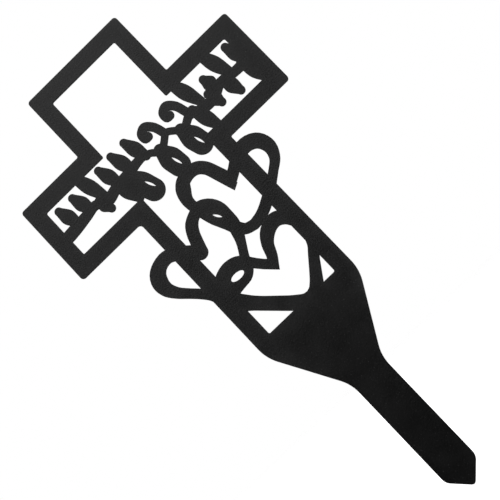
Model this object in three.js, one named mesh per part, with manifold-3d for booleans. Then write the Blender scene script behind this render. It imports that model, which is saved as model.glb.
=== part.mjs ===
// A grave cross cut from one sheet of black coated steel, with a stake that is pushed into the ground.
// Millimetres, +Z up. The origin is on the front face, on the centreline, where the stake meets the ground.

import * as THREE from 'three';
import { mergeVertices } from 'three/addons/utils/BufferGeometryUtils.js';
import Module from 'manifold-3d';

// Driving dimensions: the plate and the cross
const plateThickness = 2;
const heightAboveGround = 300;
const crossWidth = 200;
const headWidth = 87;
const headHeight = 53.9;
const armHeight = 65.5;
const barWidth = 12.9;
const shaftWidth = 87.4;
const shaftWindowDrop = 116.3;

// Driving dimensions: the shoulders and the stake
const shoulderDrop = 126.9;
const neckAboveGround = 1.8;
const stakeWidth = 27.8;
const stakeDepth = 100;
const pointSlope = 1;

// Corner radii
const cornerRadius = 2.5;
const armpitRadius = 1;
const softArmpitRadius = 3;
const shoulderRadius = 31;
const neckRadius = 28;
const stakeCornerRadius = 8;
const pointRadius = 2.5;
const windowRadius = 1.2;

// Widths of the bands, and the size of the almond piercings
const heartBandWidth = 9;
const stemWidth = 7;
const leafWidth = 11;
const tendrilWidth = 6.6;
const piercingLength = 9;
const piercingWidth = 1.6;

// Smoothness of the curves
const facetSag = 0.07;
const stepsPerKnot = 10;
const cornerSteps = 4;
const facetLength = 2.5;
const discSteps = 16;
const almondSteps = 6;
const ovalSteps = 24;
const cutMargin = 1;
const leastTurn = 0.02;
const leastEdge = 0.1;
const faceTolerance = 0.001;

// Levels, from the ground line up
const topZ = heightAboveGround;
const armTopZ = topZ - headHeight;
const armBottomZ = armTopZ - armHeight;
const armWindowTopZ = armTopZ - barWidth;
const armWindowBottomZ = armBottomZ + barWidth;
const shaftSillZ = armBottomZ - shaftWindowDrop;
const shoulderZ = armBottomZ - shoulderDrop;

// Half widths, from the centreline out
const halfCross = crossWidth / 2;
const halfHead = headWidth / 2;
const halfShaft = shaftWidth / 2;
const halfStake = stakeWidth / 2;
const halfHeadWindow = halfHead - barWidth;
const halfShaftWindow = halfShaft - barWidth;
const halfArmWindow = halfCross - barWidth;

// The sharp point that the stake's rounded tip is cut back from, and the level where the taper to it starts
const pointZ = -stakeDepth - pointRadius * (Math.hypot(1, pointSlope) - 1);
const taperZ = pointZ + halfStake * pointSlope;

// The hearts are drawn on a grid over the shaft window, and the vine on one over the arm windows.
// A grid counts across from the centreline and down from its own top edge.
const heartGrid = { halfWidth: 30.8, height: 129.2 };
const vineGrid = { halfWidth: 87, height: 40 };

function onShaft(across, down) {
  const x = (across * halfShaftWindow) / heartGrid.halfWidth;
  const z = armWindowBottomZ - (down * (armWindowBottomZ - shaftSillZ)) / heartGrid.height;
  return [x, z];
}

function onArms(across, down) {
  const x = (across * halfArmWindow) / vineGrid.halfWidth;
  const z = armWindowTopZ - (down * (armWindowTopZ - armWindowBottomZ)) / vineGrid.height;
  return [x, z];
}

// Knots of a drawing, given as [across, down, swell], become points of x, z and width
function placed(knots, place, bandWidth) {
  return knots.map(([across, down, swell = 1]) => new THREE.Vector3(...place(across, down), swell * bandWidth));
}

// An outline of straight edges whose corners, given as [x, z, radius], are rounded
function roundedOutline(corners) {
  const outline = [];
  corners.forEach(([x, z, radius], index) => {
    const corner = new THREE.Vector2(x, z);
    const back = new THREE.Vector2(...corners.at(index - 1)).sub(corner).normalize();
    const onward = new THREE.Vector2(...corners[(index + 1) % corners.length]).sub(corner).normalize();
    const halfAngle = back.angleTo(onward) / 2;
    const middle = back.clone().add(onward).normalize();
    const centre = corner.clone().addScaledVector(middle, radius / Math.sin(halfAngle));
    const reach = radius / Math.tan(halfAngle);
    const start = corner.clone().addScaledVector(back, reach).sub(centre);
    const end = corner.clone().addScaledVector(onward, reach).sub(centre);
    const turn = Math.atan2(start.cross(end), start.dot(end));
    const steps = Math.max(cornerSteps, Math.ceil((Math.abs(turn) * radius) / facetLength));
    for (let step = 0; step <= steps; step += 1) {
      outline.push(start.clone().rotateAround(new THREE.Vector2(), (turn * step) / steps).add(centre));
    }
  });
  return outline;
}

// The few points of a line that keep it within the facets' sag
function thinned(points) {
  const chord = new THREE.Line3(points[0], points.at(-1));
  const gaps = points.map((point) => chord.closestPointToPoint(point, true, new THREE.Vector3()).distanceTo(point));
  const widest = gaps.indexOf(Math.max(...gaps));
  if (gaps[widest] < facetSag) {
    return [points[0], points.at(-1)];
  }
  return [...thinned(points.slice(0, widest + 1)), ...thinned(points.slice(widest)).slice(1)];
}

// Points on a smooth line through the knots
function smoothLine(knots) {
  return thinned(new THREE.CatmullRomCurve3(knots).getPoints(knots.length * stepsPerKnot));
}

function directionFrom(point, next) {
  return new THREE.Vector2(next.x - point.x, next.y - point.y).normalize();
}

// A point beside a middle line's own point, half the band's width out, square to the way given
function besideLine(point, along, side, stretch = 1) {
  const reach = (side * stretch * point.z) / 2;
  return new THREE.Vector2(point.x - along.y * reach, point.y + along.x * reach);
}

// Both edges of a band, as pairs of points
function bandEdges(line) {
  return line.map((point, index) => {
    const along = directionFrom(line[index - 1] ?? point, line[index + 1] ?? point);
    return [1, -1].map((side) => besideLine(point, along, side));
  });
}

const wasm = await Module();
wasm.setup();

function toSolid(geometry) {
  geometry.deleteAttribute('normal');
  geometry.deleteAttribute('uv');
  const merged = mergeVertices(geometry);
  return new wasm.Manifold(new wasm.Mesh({
    numProp: 3,
    vertProperties: merged.attributes.position.array,
    triVerts: new Uint32Array(merged.index.array),
  }));
}

// A piece of the sheet with the given outline
function cutFromSheet(outline) {
  const settings = { depth: plateThickness, bevelEnabled: false };
  return toSolid(new THREE.ExtrudeGeometry(new THREE.Shape(outline), settings));
}

// What takes an opening out of the sheet, so it runs past both faces
function cutter(outline) {
  const settings = { depth: plateThickness + 2 * cutMargin, bevelEnabled: false };
  return toSolid(new THREE.ExtrudeGeometry(new THREE.Shape(outline), settings).translate(0, 0, -cutMargin));
}

// A band is cut stretch by stretch, because its ends may lie over each other. The corners of a stretch are
// taken in order round its middle, so that a tight bend doesn't fold it over.
function bandStretches(line) {
  const edges = bandEdges(line);
  return edges.slice(1).map((pair, index) => {
    const corners = [...edges[index], ...pair];
    const middle = corners.reduce((sum, corner) => sum.add(corner), new THREE.Vector2()).divideScalar(corners.length);
    const angleOf = (corner) => corner.clone().sub(middle).angle();
    return cutFromSheet(corners.sort((one, other) => angleOf(one) - angleOf(other)));
  });
}

function roundEnd(point) {
  return cutFromSheet(new THREE.Path().absarc(point.x, point.y, point.z / 2, 0, 2 * Math.PI).getPoints(discSteps));
}

function band(knots) {
  const line = smoothLine(knots);
  return [...bandStretches(line), roundEnd(line[0]), roundEnd(line.at(-1))];
}

// The corner that finishes a notch, where the two halves of a heart's band meet at an angle
function sharpNotch([notch, nextLeft], [, nextRight]) {
  const into = directionFrom(nextLeft, notch);
  const onward = directionFrom(notch, nextRight);
  const side = -Math.sign(into.cross(onward));
  const mitre = into.clone().add(onward).normalize();
  return cutFromSheet([
    new THREE.Vector2(notch.x, notch.y),
    besideLine(notch, into, side),
    besideLine(notch, mitre, side, 1 / mitre.dot(onward)),
    besideLine(notch, onward, side),
  ]);
}

function heart({ notch, leftHalf, rightHalf }) {
  const lines = [leftHalf, rightHalf].map((knots) => smoothLine(placed(knots, onShaft, heartBandWidth)));
  const corner = notch === 'sharp' ? sharpNotch(...lines) : roundEnd(lines[0][0]);
  return [...lines.flatMap(bandStretches), ...lines.map((line) => roundEnd(line.at(-1))), corner];
}

// The outline of the whole cross, from the right side of its point up, over the head and down the left side
function crossOutline() {
  const rightSide = (armpit) => [
    [halfStake, taperZ, stakeCornerRadius],
    [halfStake, neckAboveGround, neckRadius],
    [halfShaft, shoulderZ, shoulderRadius],
    [halfShaft, armBottomZ, armpit],
    [halfCross, armBottomZ, cornerRadius],
    [halfCross, armTopZ, cornerRadius],
    [halfHead, armTopZ, armpitRadius],
    [halfHead, topZ, cornerRadius],
  ];
  const leftSide = rightSide(softArmpitRadius).map(([x, z, radius]) => [-x, z, radius]);
  return roundedOutline([[0, pointZ, pointRadius], ...rightSide(armpitRadius), ...leftSide.reverse()]);
}

// The window of the head, the arms and the shaft, which all run into each other
function windowOutline() {
  const rightSide = [
    [halfShaftWindow, shaftSillZ],
    [halfShaftWindow, armWindowBottomZ],
    [halfArmWindow, armWindowBottomZ],
    [halfArmWindow, armWindowTopZ],
    [halfHeadWindow, armWindowTopZ],
    [halfHeadWindow, topZ - barWidth],
  ];
  const leftSide = rightSide.map(([x, z]) => [-x, z]).reverse();
  return roundedOutline([...rightSide, ...leftSide].map(([x, z]) => [x, z, windowRadius]));
}

// Each heart is two half bands on the heart grid. Both start at its notch and end where they meet,
// at its tip or inside a bar of the shaft. A side lobe stands out past the shaft.
const upperHeart = {
  notch: 'sharp',
  leftHalf: [
    [22.6, 34.6, 1.12], [18.8, 23.5, 1.06], [16.2, 16.8, 1.04], [11.5, 12.1, 1.04], [5.5, 10.8, 1.02],
    [-1.7, 12.3, 1.1], [-6, 17.1, 1.2], [-8.7, 23.8, 0.97], [-8.2, 32, 0.85], [-4.5, 45.5, 0.9],
    [-0.4, 54.5, 0.88], [3.2, 61.5, 1], [7.3, 66.3, 0.88], [13.5, 68.2, 0.87],
  ],
  rightHalf: [
    [22.6, 34.6, 1], [28.4, 31.5, 0.93], [33, 28.6], [41, 24.7, 1.2], [49, 24.7, 1.24], [55.2, 28.6, 1.22],
    [57.9, 36.3, 1.1], [55.2, 44.6, 0.86], [47.5, 51.2, 0.76], [38, 57.8, 0.9], [28, 64, 0.93],
    [21, 66.9, 0.9], [13.5, 68.2, 0.87],
  ],
};
const leftHeart = {
  notch: 'round',
  leftHalf: [
    [-26.8, 56, 1.25], [-31, 52.3, 1.15], [-38, 46.3, 1.1], [-46, 42.3, 1.1], [-53.5, 43.2, 1.15],
    [-59.1, 47, 1.3], [-61.6, 52.2, 1.33], [-61.4, 58.4, 1.15], [-57.7, 65.1, 0.92], [-52.1, 71.1, 0.82],
    [-46.6, 76.7, 0.82], [-41.5, 82.5, 0.9], [-38, 89],
  ],
  rightHalf: [
    [-26.8, 56, 1.25], [-24.1, 50.2, 1.05], [-21.6, 43.5, 1.03], [-18.2, 38.3, 1.02], [-12.8, 34.8, 0.93],
    [-6, 33.6, 1.08], [0, 37, 1.07], [3.6, 43, 1.02], [4.2, 50, 0.96], [3.4, 57, 1.05], [1.3, 64, 0.97],
    [-1.8, 70.9, 0.77], [-6.8, 79.4, 0.75], [-10.6, 86.4, 0.92], [-14.8, 90.6, 0.78], [-20.5, 91.7, 0.72],
    [-26.6, 91.5, 0.95], [-36, 93],
  ],
};
const lowerHeart = {
  notch: 'sharp',
  leftHalf: [
    [4, 97, 0.82], [-1, 92.1, 0.8], [-5.6, 86.5, 0.83], [-10, 81.4, 0.98], [-14.6, 78.8, 1.1],
    [-21, 78, 1.15], [-27.5, 80.8, 1.35], [-34, 86, 1.2], [-35.5, 92.5, 1.2], [-32, 98.5, 1.4],
    [-23.7, 107.2, 1.15], [-13.7, 116.9, 1.15], [-3.7, 126, 1.2], [3, 130.8, 1.25], [8.5, 132, 1.3],
  ],
  rightHalf: [
    [4, 97, 0.82], [7.2, 92.2, 0.86], [10.7, 84.2, 0.98], [15.1, 79.1, 1.14], [20.5, 76.1, 1.2],
    [26, 75.7, 1.2], [31.5, 79, 1.1], [35.5, 86], [36.5, 95], [33.4, 105, 0.92], [27.3, 112.4, 0.87],
    [17.2, 125.6, 1.05], [13.2, 129.8, 1.2], [8.5, 132, 1.3],
  ],
};

// The vine across the arms, on the vine grid: a wavy stem from one end bar to the other
const stem = [
  [-93, 24, 1.3], [-80, 23, 1.3], [-66, 21.5, 1.1], [-58, 20.5], [-49, 24.5, 1.2], [-38, 22, 1.1],
  [-26, 21, 1.1], [-12, 19.3, 0.9], [-5, 21.3, 0.75], [2, 26.2, 0.8], [8, 22.3, 0.75], [13, 18.9, 0.75],
  [18, 21.8, 0.75], [23, 26.2, 0.8], [33, 21.8, 0.9], [43, 25, 1.1], [54, 25, 1.1], [64, 20.5],
  [75, 22], [93, 22, 1.2],
];

// The vine's leaves, each by the place of its foot on the stem and how far it reaches up, or down where
// that is negative. All lean the same way.
const leafFootDown = 20.5;
const leafLean = 0.3;
const leafSwell = [0.62, 1, 0.58];
const leaves = [
  [-75, 15], [-61.6, 15], [-48.2, 25.5], [-34.8, 16], [-21.4, 17], [-8, 17.5],
  [45.6, 25.5], [60, 10], [74, 25.5], [88, 15.5],
  [-53.5, -9.5], [-37, -18.5], [37, -21.5], [52.5, -10.5], [66.5, -14], [84, -21.5],
];

// The buds that hang from the vine into the shaft, each from its foot to its round lower end
const budSwell = [0.85, 1.52, 1.5];
const buds = [
  [[-27.2, 22], [-20.2, 41.8]],
  [[1.6, 25], [4.4, 42]],
  [[21.8, 25], [26, 42]],
];

// The vine's two tendrils, each drawn from the stem up and over to its curled end
const tendril = [[12, 18], [9.5, 10], [4.5, 5.2], [-0.2, 7.6], [-0.3, 11.6], [2.2, 11.8]];
const tendrilPlaces = [0, 21];

// The gap where the left and the lower heart cross is webbed over and cut again as an oval, so that its
// ends are round. Its tilt is the angle by which its right end is raised, in degrees.
const crossingGap = { at: [-19.4, 85.8], tiltAngle: -3.6, halfLength: 5.5, halfWidth: 2.5 };
const webWidth = 2;

// Almond piercings: each one's centre, and how far it leans back from upright, in degrees
const heartPiercings = [{ at: [-1, 46.1], lean: 33, long: 0.8 }];
const vinePiercings = [
  { at: [-19.3, 37], lean: 24 },
  { at: [5.2, 38.5], lean: 16 },
  { at: [26.3, 39], lean: 16 },
];

// A leaf or a bud: a band whose width swells from its foot to its middle and its end
function blade(foot, end, swells) {
  const middle = foot.map((place, axis) => (place + end[axis]) / 2);
  return band(placed([foot, middle, end].map((knot, index) => [...knot, swells[index]]), onArms, leafWidth));
}

function leaf([place, reach]) {
  const tip = [place - leafLean * reach, leafFootDown - reach];
  return blade([place, leafFootDown], tip, leafSwell);
}

function piercing({ at, lean, long = 1 }, place) {
  const angle = THREE.MathUtils.degToRad(lean);
  const tip = new THREE.Vector2(-Math.sin(angle), Math.cos(angle)).multiplyScalar((long * piercingLength) / 2);
  const side = new THREE.Vector2(tip.y, -tip.x).setLength(piercingWidth);
  const centre = new THREE.Vector2(...place(...at));
  const ends = [centre.clone().add(tip), centre.clone().sub(tip)];
  const bows = [centre.clone().add(side), centre.clone().sub(side)];
  const sides = [
    new THREE.QuadraticBezierCurve(ends[0], bows[0], ends[1]),
    new THREE.QuadraticBezierCurve(ends[1], bows[1], ends[0]),
  ];
  return cutter(sides.flatMap((curve) => curve.getPoints(almondSteps).slice(0, -1)));
}

// The outline of an oval gap, or of the web that covers it where there is a margin round it
function ovalOutline({ at, tiltAngle, halfLength, halfWidth }, margin) {
  const angle = THREE.MathUtils.degToRad(tiltAngle);
  const radii = [halfLength + margin, halfWidth + margin];
  return new THREE.EllipseCurve(...onShaft(...at), ...radii, 0, 2 * Math.PI, false, angle).getPoints(ovalSteps);
}

// An outline without the points where it hardly turns, repeats itself, or runs into a crack and back
function tidied(outline) {
  const kept = outline.filter((point, index) => {
    const before = outline.at(index - 1);
    const after = outline[(index + 1) % outline.length];
    const turn = directionFrom(before, point).angleTo(directionFrom(point, after));
    return turn > leastTurn && Math.min(before.distanceTo(point), before.distanceTo(after)) > leastEdge;
  });
  return kept.length < outline.length ? tidied(kept) : kept;
}

// The outlines of the sheet's front face, each the run of edges that only one of its triangles has.
// A sliver between two bands that closes up when it is tidied is no outline.
function frontOutlines({ vertProperties, triVerts }) {
  const pointAt = (vertex) => new THREE.Vector2(...vertProperties.slice(3 * vertex, 3 * vertex + 2));
  const edges = new Set();
  for (let first = 0; first < triVerts.length; first += 3) {
    const corners = [...triVerts.slice(first, first + 3)];
    if (corners.every((vertex) => vertProperties[3 * vertex + 2] < faceTolerance)) {
      corners.forEach((vertex, index) => edges.add(`${vertex} ${corners[(index + 1) % 3]}`));
    }
  }
  const pairs = [...edges].map((edge) => edge.split(' '));
  const onward = new Map(pairs.filter(([from, to]) => !edges.has(`${to} ${from}`)));
  const outlines = [];
  while (onward.size > 0) {
    const outline = [];
    let [[vertex]] = onward;
    while (onward.has(vertex)) {
      const next = onward.get(vertex);
      onward.delete(vertex);
      outline.push(pointAt(Number(vertex)));
      vertex = next;
    }
    outlines.push(tidied(outline));
  }
  return outlines.filter((outline) => outline.length > 2);
}

// The frame, hearts and vine as one sheet, cut to the outlines that they make together
function crossPlate() {
  const ornament = [
    ...[upperHeart, leftHeart, lowerHeart].flatMap(heart),
    cutFromSheet(ovalOutline(crossingGap, webWidth)),
    ...band(placed(stem, onArms, stemWidth)),
    ...leaves.flatMap(leaf),
    ...buds.flatMap(([foot, end]) => blade(foot, end, budSwell)),
    ...tendrilPlaces.flatMap((shift) => {
      const knots = tendril.map(([across, down]) => [across + shift, down]);
      return band(placed(knots, onArms, tendrilWidth));
    }),
  ];
  const piercings = [
    cutter(ovalOutline(crossingGap, 0)),
    ...heartPiercings.map((cut) => piercing(cut, onShaft)),
    ...vinePiercings.map((cut) => piercing(cut, onArms)),
  ];
  const frame = cutFromSheet(crossOutline()).subtract(cutter(windowOutline()));
  const whole = ornament.reduce((plate, piece) => plate.add(piece), frame);
  const plate = piercings.reduce((rest, piece) => rest.subtract(piece), whole);
  const sizeOf = (outline) => Math.abs(THREE.ShapeUtils.area(outline));
  const [outside, ...openings] = frontOutlines(plate.getMesh()).sort((one, other) => sizeOf(other) - sizeOf(one));
  const sheet = openings.reduce((rest, opening) => rest.subtract(cutter(opening)), cutFromSheet(outside));
  const { vertProperties, triVerts } = sheet.getMesh();
  const geometry = new THREE.BufferGeometry();
  geometry.setAttribute('position', new THREE.BufferAttribute(vertProperties, 3));
  geometry.setIndex(new THREE.BufferAttribute(triVerts, 1));
  // The sheet is drawn flat, then stood up with its front face on the plane through the origin
  return geometry.rotateX(Math.PI / 2).translate(0, plateThickness, 0);
}

const blackCoating = new THREE.MeshStandardMaterial({ color: 0x1d1d1e, roughness: 0.55, metalness: 0 });
const plate = new THREE.Mesh(crossPlate(), blackCoating);
plate.name = 'cross_plate';

const graveCross = new THREE.Group();
graveCross.add(plate);

export default graveCross;
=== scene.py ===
# Black powder coated steel grave cross: the looks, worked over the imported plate, in metres
import bpy
import math
from mathutils import Matrix, Vector
from mathutils.bvhtree import BVHTree


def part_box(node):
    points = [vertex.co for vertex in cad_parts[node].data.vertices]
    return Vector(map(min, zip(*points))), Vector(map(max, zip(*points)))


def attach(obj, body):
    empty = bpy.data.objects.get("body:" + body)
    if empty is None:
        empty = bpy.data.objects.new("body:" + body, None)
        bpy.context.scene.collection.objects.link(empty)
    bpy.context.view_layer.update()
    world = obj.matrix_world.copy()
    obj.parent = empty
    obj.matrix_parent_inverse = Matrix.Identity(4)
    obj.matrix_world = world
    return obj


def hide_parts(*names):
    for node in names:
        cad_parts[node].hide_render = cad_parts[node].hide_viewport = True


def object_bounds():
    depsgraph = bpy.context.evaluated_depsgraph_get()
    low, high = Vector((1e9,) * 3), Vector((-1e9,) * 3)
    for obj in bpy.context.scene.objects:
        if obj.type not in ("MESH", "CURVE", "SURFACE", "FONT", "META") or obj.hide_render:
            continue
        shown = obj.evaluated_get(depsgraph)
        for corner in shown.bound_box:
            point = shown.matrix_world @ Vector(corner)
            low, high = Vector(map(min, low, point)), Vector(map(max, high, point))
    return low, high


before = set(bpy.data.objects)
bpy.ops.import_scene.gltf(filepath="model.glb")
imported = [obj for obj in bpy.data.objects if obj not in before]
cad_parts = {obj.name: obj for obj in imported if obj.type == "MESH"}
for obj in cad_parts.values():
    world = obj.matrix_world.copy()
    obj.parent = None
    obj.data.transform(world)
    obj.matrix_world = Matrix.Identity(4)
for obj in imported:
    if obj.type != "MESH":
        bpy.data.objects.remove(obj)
cadLow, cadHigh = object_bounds()
plateNode = "cross_plate"
bodyName = "root"
print("frame loaded:", ", ".join(sorted(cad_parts)))


# Camera

cameraLook = {
    "place": (0.0384, -0.6767, 0.0340),  # in front of the plate and a little right of its middle
    "right": (0.7178, 0.1233, -0.6852),  # the picture's right, so the cross lies turned in it
    "up": (0.6938, -0.0453, 0.7187),
    "lens": 72.0,
    "sensor": 36.0,
    "nearest": 0.01,
    "farthest": 20.0,
}


def addCamera(look):
    data = bpy.data.cameras.new("photoCamera")
    data.lens = look["lens"]
    data.sensor_width = look["sensor"]
    data.clip_start = look["nearest"]
    data.clip_end = look["farthest"]
    camera = bpy.data.objects.new("photoCamera", data)
    bpy.context.scene.collection.objects.link(camera)
    right = Vector(look["right"]).normalized()
    back = right.cross(Vector(look["up"])).normalized()
    up = back.cross(right)
    turn = Matrix((right, up, back)).transposed().to_4x4()
    camera.matrix_world = Matrix.Translation(look["place"]) @ turn
    bpy.context.scene.camera = camera


addCamera(cameraLook)
print("camera set")


# Powder coat

coatLook = {
    "colour": (0.0030, 0.0030, 0.0031, 1.0),
    "paintedEdgeHighlight": (0.022, 0.022, 0.0224, 1.0),  # painted highlight, paler towards a cut edge
    "paintedRimHighlight": (0.028, 0.028, 0.0284, 1.0),  # painted highlight, palest where the coat rounds the edge
    "speckColour": (0.05, 0.05, 0.05, 1.0),
    "ior": 1.5,
    "roughness": 0.42,
    "roughnessSpread": 0.06,
    "cloudSize": 0.018,  # metres across one patch
    "cloudDetail": 3.0,
    "cloudSpan": (0.3, 0.7),  # the stretch of the noise that the patches are drawn from
    "paintedHighlightPatches": (0.55, 1.25),  # how much of the painted edge highlight shows, from patch to patch
    "peelSize": 0.0012,
    "peelDetail": 1.0,
    "peelDepth": 0.00015,
    "grainSize": 0.0004,
    "grainDetail": 2.0,
    "grainDepth": 0.00007,
    "speckSize": 0.0009,
    "speckDetail": 0.0,
    "speckFrom": 0.74,  # the share of the noise over which a speck shows
    "speckFade": 0.05,
}


def addNode(tree, kind, place, **settings):
    node = tree.nodes.new(kind)
    node.location = place
    for name, value in settings.items():
        setattr(node, name, value)
    return node


def addNoise(tree, where, look, name, place):
    noise = addNode(tree, "ShaderNodeTexNoise", place)
    noise.inputs["Scale"].default_value = 1.0 / look[name + "Size"]
    noise.inputs["Detail"].default_value = look[name + "Detail"]
    tree.links.new(where, noise.inputs["Vector"])
    return noise.outputs["Fac"]


def addRange(tree, value, span, result, place):
    change = addNode(tree, "ShaderNodeMapRange", place)
    change.inputs["From Min"].default_value = span[0]
    change.inputs["From Max"].default_value = span[1]
    change.inputs["To Min"].default_value = result[0]
    change.inputs["To Max"].default_value = result[1]
    tree.links.new(value, change.inputs["Value"])
    return change.outputs["Result"]


def addMix(tree, share, under, over, place):
    mix = addNode(tree, "ShaderNodeMix", place, data_type="RGBA")
    if isinstance(under, tuple):
        mix.inputs["A"].default_value = under
    else:
        tree.links.new(under, mix.inputs["A"])
    mix.inputs["B"].default_value = over
    tree.links.new(share, mix.inputs["Factor"])
    return mix.outputs["Result"]


def addBump(tree, height, depth, place):
    bump = addNode(tree, "ShaderNodeBump", place)
    bump.inputs["Distance"].default_value = depth
    tree.links.new(height, bump.inputs["Height"])
    return bump


def makeCoat(look):
    material = bpy.data.materials.new("blackPowderCoat")
    material.use_nodes = True
    tree = material.node_tree
    surface = tree.nodes["Principled BSDF"]
    surface.inputs["IOR"].default_value = look["ior"]
    where = addNode(tree, "ShaderNodeTexCoord", (-1500, 0)).outputs["Object"]
    clouds = addNoise(tree, where, look, "cloud", (-1250, 300))

    edge = addNode(tree, "ShaderNodeAttribute", (-1250, 600), attribute_name="edge").outputs["Fac"]
    cloudy = addRange(tree, clouds, look["cloudSpan"], look["paintedHighlightPatches"], (-1000, 450))
    paintedHighlightShare = addNode(tree, "ShaderNodeMath", (-800, 550), operation="MULTIPLY")
    tree.links.new(edge, paintedHighlightShare.inputs[0])
    tree.links.new(cloudy, paintedHighlightShare.inputs[1])
    rim = addNode(tree, "ShaderNodeAttribute", (-800, 750), attribute_name="rim").outputs["Fac"]
    specks = addNoise(tree, where, look, "speck", (-1000, 900))
    speckSpan = (look["speckFrom"], look["speckFrom"] + look["speckFade"])
    speck = addRange(tree, specks, speckSpan, (0.0, 1.0), (-800, 950))
    # painted highlight: the colour turns paler towards the cut edges, in patches, and not down the
    # stake
    colour = addMix(tree, paintedHighlightShare.outputs["Value"], look["colour"], look["paintedEdgeHighlight"], (-600, 500))
    # painted highlight on the rounded rim of every cut edge
    colour = addMix(tree, rim, colour, look["paintedRimHighlight"], (-400, 550))
    colour = addMix(tree, speck, colour, look["speckColour"], (-200, 600))
    tree.links.new(colour, surface.inputs["Base Color"])

    low, high = (look["roughness"] + side * look["roughnessSpread"] for side in (-1, 1))
    gloss = addRange(tree, clouds, look["cloudSpan"], (low, high), (-600, 150))
    tree.links.new(gloss, surface.inputs["Roughness"])

    peel = addNoise(tree, where, look, "peel", (-900, 0))
    grain = addNoise(tree, where, look, "grain", (-900, -300))
    dimples = addBump(tree, peel, look["peelDepth"], (-400, -100))
    fine = addBump(tree, grain, look["grainDepth"], (-200, -250))
    tree.links.new(dimples.outputs["Normal"], fine.inputs["Normal"])
    tree.links.new(fine.outputs["Normal"], surface.inputs["Normal"])
    return material


coat = makeCoat(coatLook)
print("powder coat made")


# Plate

plateLook = {
    "mergeDistance": 0.00001,
    "flatAngle": 0.5,  # degrees between faces that count as one flat
    "flatFacing": 0.9,  # a face turned this far to the front or back belongs to the plate's flats
    "rimRadius": 0.0002,  # how far the coat rounds the cut edges
    "rimSegments": 3,
    "rimMargin": 0.01,  # the share of the radius at each end of the rounding that stays without the painted rim highlight
    "gridStep": 0.005,  # the flats are cut into squares of this size, to carry the painted edge highlight
    "edgeReach": 0.008,  # how far in from a cut edge the painted highlight reaches
    "edgeFade": (0.0, 0.045),  # the painted edge highlight comes in between these heights, so the stake has none
    "smoothAngle": 40.0,
}


def startEdit(piece):
    bpy.ops.object.select_all(action="DESELECT")
    piece.select_set(True)
    bpy.context.view_layer.objects.active = piece
    bpy.ops.object.mode_set(mode="EDIT")


def isFlat(face, look):
    return abs(face.normal.y) > look["flatFacing"]


def roundRims(piece, look):
    bpy.ops.mesh.select_all(action="DESELECT")
    bpy.ops.mesh.select_mode(type="EDGE")
    bpy.ops.object.mode_set(mode="OBJECT")
    mesh = piece.data
    flats = {key for face in mesh.polygons if isFlat(face, look) for key in face.edge_keys}
    walls = {key for face in mesh.polygons if not isFlat(face, look) for key in face.edge_keys}
    for edge in mesh.edges:
        edge.select = edge.key in flats and edge.key in walls
    bpy.ops.object.mode_set(mode="EDIT")
    bpy.ops.mesh.bevel(
        offset=look["rimRadius"], segments=look["rimSegments"], clamp_overlap=False, loop_slide=False
    )


def cutSquares(low, high, step):
    for across, normal in ((0, (1, 0, 0)), (2, (0, 0, 1))):
        place = Vector(low)
        place[across] += 0.5 * step
        while place[across] < high[across]:
            bpy.ops.mesh.select_all(action="SELECT")
            bpy.ops.mesh.bisect(plane_co=place, plane_no=normal)
            place[across] += step


def shadeEdges(mesh, low, high, look):
    walls = [face.vertices[:] for face in mesh.polygons if not isFlat(face, look)]
    tree = BVHTree.FromPolygons([vertex.co for vertex in mesh.vertices], walls)
    edge = mesh.attributes.new("edge", "FLOAT", "POINT")
    rim = mesh.attributes.new("rim", "FLOAT", "POINT")
    fadeFrom, fadeTo = look["edgeFade"]
    # edge carries the painted highlight near the cut edges, faded out down the stake; rim marks the
    # rounded rim for its painted highlight
    for vertex, near, onRim in zip(mesh.vertices, edge.data, rim.data):
        away = tree.find_nearest(vertex.co)[3]
        share = (vertex.co.z - fadeFrom) / (fadeTo - fadeFrom)
        near.value = math.exp(-away / look["edgeReach"]) * min(max(share, 0.0), 1.0)
        depth = min(vertex.co.y - low.y, high.y - vertex.co.y) / look["rimRadius"]
        onRim.value = 1.0 if look["rimMargin"] < depth < 1.0 - look["rimMargin"] else 0.0


def makePlate(look):
    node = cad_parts[plateNode]
    low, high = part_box(plateNode)
    piece = bpy.data.objects.new("coatedPlate", node.data.copy())
    bpy.context.scene.collection.objects.link(piece)
    startEdit(piece)
    bpy.ops.mesh.customdata_custom_splitnormals_clear()
    bpy.ops.mesh.select_all(action="SELECT")
    bpy.ops.mesh.remove_doubles(threshold=look["mergeDistance"])
    bpy.ops.mesh.dissolve_limited(angle_limit=math.radians(look["flatAngle"]))
    roundRims(piece, look)
    cutSquares(low, high, look["gridStep"])
    bpy.ops.object.mode_set(mode="OBJECT")
    shadeEdges(piece.data, low, high, look)
    piece.data.materials.clear()
    piece.data.materials.append(coat)
    bpy.ops.object.shade_smooth_by_angle(angle=math.radians(look["smoothAngle"]))
    weighted = piece.modifiers.new("flatFaces", "WEIGHTED_NORMAL")
    weighted.keep_sharp = True
    bpy.ops.object.modifier_apply(modifier=weighted.name)
    return piece


plate = makePlate(plateLook)
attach(plate, bodyName)
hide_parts(plateNode)
print("plate made:", len(plate.data.polygons), "faces")


# Floor, room and lights

floorLook = {
    "drop": 0.0006,  # metres left under the stake's point
    "reach": 3.0,
    "sides": 96,
    "fadeFrom": 0.9,  # metres from the stake where the floor starts to melt into the white room
    "fadeTo": 2.2,
    "colour": (0.8, 0.8, 0.8, 1.0),
    "roughness": 1.0,
    "glowColour": (1.0, 1.0, 1.0, 1.0),
    "glow": 0.8,  # lifts the floor to the white of a light table
}

roomLook = {
    "shown": (1.0, 1.0, 1.0, 1.0),  # what the camera sees behind the cross
    "dim": (1.0, 1.0, 1.0, 1.0),
    "dimStrength": 0.018,  # what the coat mirrors away from the lamps
}

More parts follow.
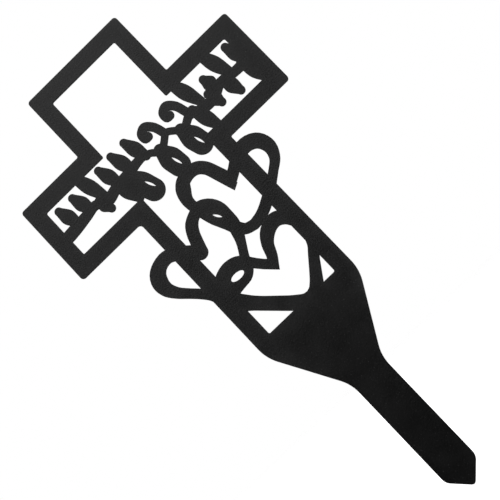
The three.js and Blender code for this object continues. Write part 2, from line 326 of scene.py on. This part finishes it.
lampLooks = {
    "keyLamp": {"place": (-0.06, -1.6, 1.5), "aim": (0.0, 0.0, 0.2), "size": 2.0, "watts": 12.1},
    "leftLamp": {"place": (-1.25, -0.95, 0.0), "aim": (0.0, 0.0, 0.1), "size": 0.8, "watts": 6.0},
    "rightLamp": {"place": (1.25, -0.95, 0.0), "aim": (0.0, 0.0, 0.1), "size": 0.8, "watts": 6.0},
    "backLamp": {"place": (0.25, 1.5, 0.6), "aim": (0.0, 0.0, 0.1), "size": 2.4, "watts": 10.0},
    "topLamp": {"place": (0.0, 0.2, 1.8), "aim": (0.0, 0.2, 0.0), "size": 1.4, "watts": 25.0},
}


def makeFloor(look):
    bpy.ops.object.select_all(action="DESELECT")
    height = cadLow.z - look["drop"]
    bpy.ops.mesh.primitive_circle_add(
        vertices=look["sides"], radius=look["reach"], fill_type="NGON", location=(0.0, 0.0, height)
    )
    floor = bpy.context.object
    floor.name = "floor"
    material = bpy.data.materials.new("paleFloor")
    material.use_nodes = True
    tree = material.node_tree
    surface = tree.nodes["Principled BSDF"]
    surface.inputs["Base Color"].default_value = look["colour"]
    surface.inputs["Roughness"].default_value = look["roughness"]
    surface.inputs["Specular IOR Level"].default_value = 0.0
    surface.inputs["Emission Color"].default_value = look["glowColour"]
    surface.inputs["Emission Strength"].default_value = look["glow"]
    where = addNode(tree, "ShaderNodeTexCoord", (-900, -300))
    away = addNode(tree, "ShaderNodeVectorMath", (-650, -300), operation="LENGTH")
    fade = addNode(tree, "ShaderNodeMapRange", (-400, -300), interpolation_type="SMOOTHSTEP")
    fade.inputs["From Min"].default_value = look["fadeFrom"]
    fade.inputs["From Max"].default_value = look["fadeTo"]
    fade.inputs["To Min"].default_value = 1.0
    fade.inputs["To Max"].default_value = 0.0
    tree.links.new(where.outputs["Object"], away.inputs[0])
    tree.links.new(away.outputs["Value"], fade.inputs["Value"])
    tree.links.new(fade.outputs["Result"], surface.inputs["Alpha"])
    floor.data.materials.append(material)
    floor.visible_glossy = False  # the floor is not mirrored in the coat
    floor.visible_diffuse = False


def makeRoom(look):
    bpy.context.scene.view_settings.view_transform = "Standard"
    world = bpy.data.worlds.new("studio")
    world.use_nodes = True
    bpy.context.scene.world = world
    tree = world.node_tree
    dim = tree.nodes["Background"]
    dim.inputs["Color"].default_value = look["dim"]
    dim.inputs["Strength"].default_value = look["dimStrength"]
    shown = addNode(tree, "ShaderNodeBackground", (0, -150))
    shown.inputs["Color"].default_value = look["shown"]
    seen = addNode(tree, "ShaderNodeLightPath", (0, 400))
    choice = addNode(tree, "ShaderNodeMixShader", (300, 100))
    tree.links.new(seen.outputs["Is Camera Ray"], choice.inputs["Fac"])
    tree.links.new(dim.outputs["Background"], choice.inputs[1])
    tree.links.new(shown.outputs["Background"], choice.inputs[2])
    tree.links.new(choice.outputs["Shader"], tree.nodes["World Output"].inputs["Surface"])


def makeLamp(name, look):
    data = bpy.data.lights.new(name, "AREA")
    data.size = look["size"]
    data.energy = look["watts"]
    lamp = bpy.data.objects.new(name, data)
    bpy.context.scene.collection.objects.link(lamp)
    lamp.location = look["place"]
    backwards = Vector(look["place"]) - Vector(look["aim"])
    lamp.rotation_euler = backwards.to_track_quat("Z", "Y").to_euler()
    lamp.visible_camera = False


makeFloor(floorLook)
makeRoom(roomLook)
for lampName, lampLook in lampLooks.items():
    makeLamp(lampName, lampLook)
print("floor, room and lamps made")
